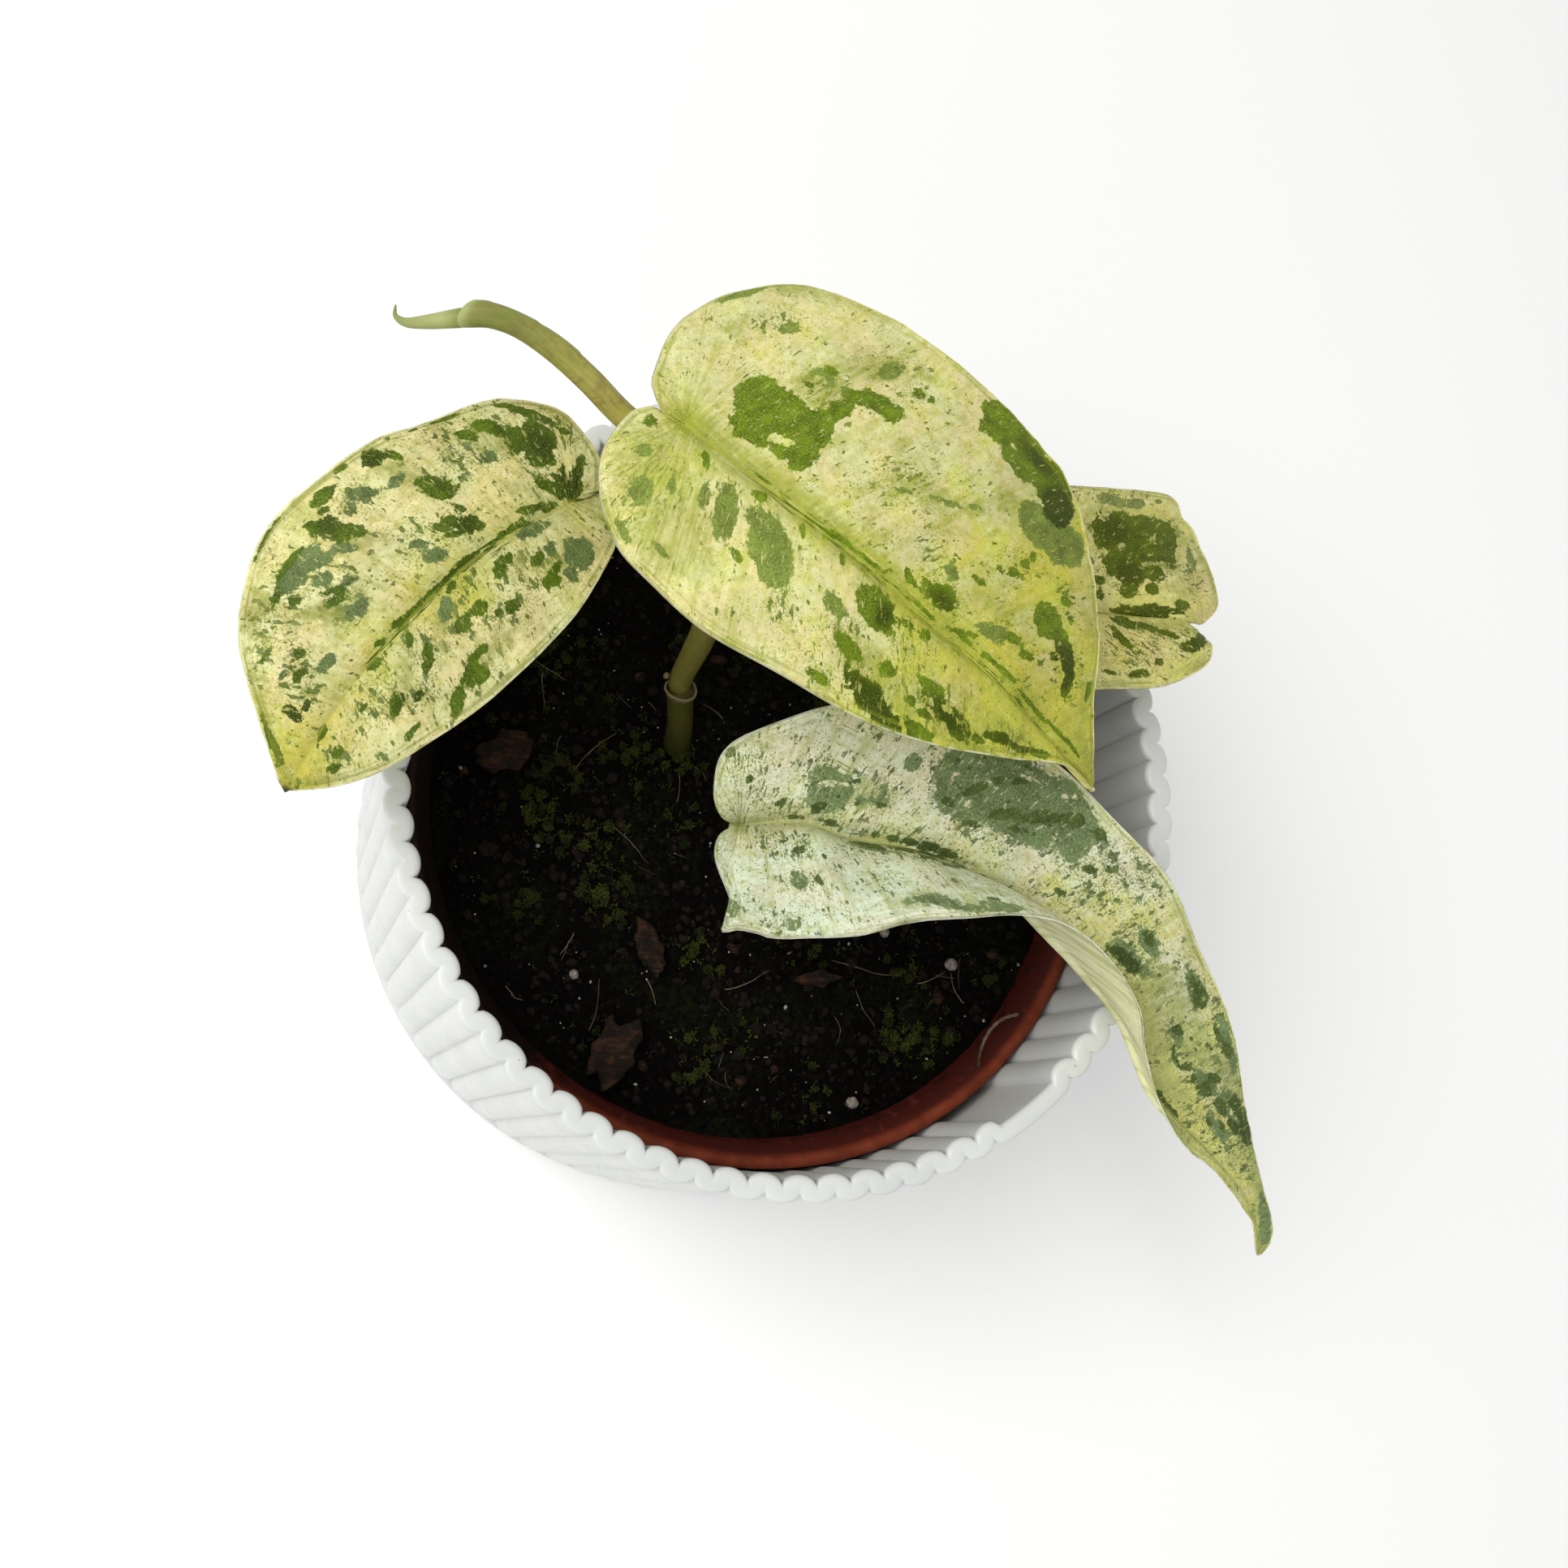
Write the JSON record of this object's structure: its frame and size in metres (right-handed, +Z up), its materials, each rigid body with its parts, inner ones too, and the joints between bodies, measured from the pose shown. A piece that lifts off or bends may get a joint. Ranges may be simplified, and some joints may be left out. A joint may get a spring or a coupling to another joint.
{
  "type": "potted scindapsus",
  "caption": "Young variegated scindapsus vine with heart-shaped leaves, in a nursery pot inside a round fluted white cachepot.",
  "frame": {"origin": "centre of the cachepot's flat underside, in the plane it stands on", "axes": "+Z up along the pot's axis; +X towards the right of the view that shows the long drooping leaf at the lower right, +Y away from that view's lower edge"},
  "size_m": [0.1708, 0.1382, 0.1237],
  "materials": {
    "white_plastic": "semi-gloss moulded white plastic",
    "terracotta_plastic": "thin matte terracotta-coloured plastic",
    "soil": "damp peat potting mix, crumbly",
    "stem": "smooth olive green vine with a pale node",
    "stalk": "smooth pale green leaf stalk",
    "leaf": "satin cream-yellow blade with crisp dark and grey-green variegation",
    "new_leaf": "satin olive-yellow rolled young blade",
    "moss": "dark green living moss",
    "bark": "rough brown bark",
    "perlite": "porous white grain",
    "root": "thin pale dry root"
  },
  "bodies": {
    "root": {"cachepot": "white_plastic", "nursery_pot": "terracotta_plastic", "soil": "soil", "stem": "stem", "petiole_left": "stalk", "petiole_centre": "stalk", "petiole_right": "stalk", "petiole_front": "stalk", "leaf_left": "leaf", "leaf_centre": "leaf", "leaf_right": "leaf", "leaf_front": "leaf", "new_leaf": "new_leaf", "moss_1": "moss", "moss_2": "moss", "moss_3": "moss", "moss_4": "moss", "moss_5": "moss", "moss_6": "moss", "bark_chip_1": "bark", "bark_chip_2": "bark", "bark_chip_3": "bark", "bark_chip_4": "bark", "perlite_1": "perlite", "perlite_2": "perlite", "perlite_3": "perlite", "perlite_4": "perlite", "surface_root": "root"}
  },
  "joints": []
}
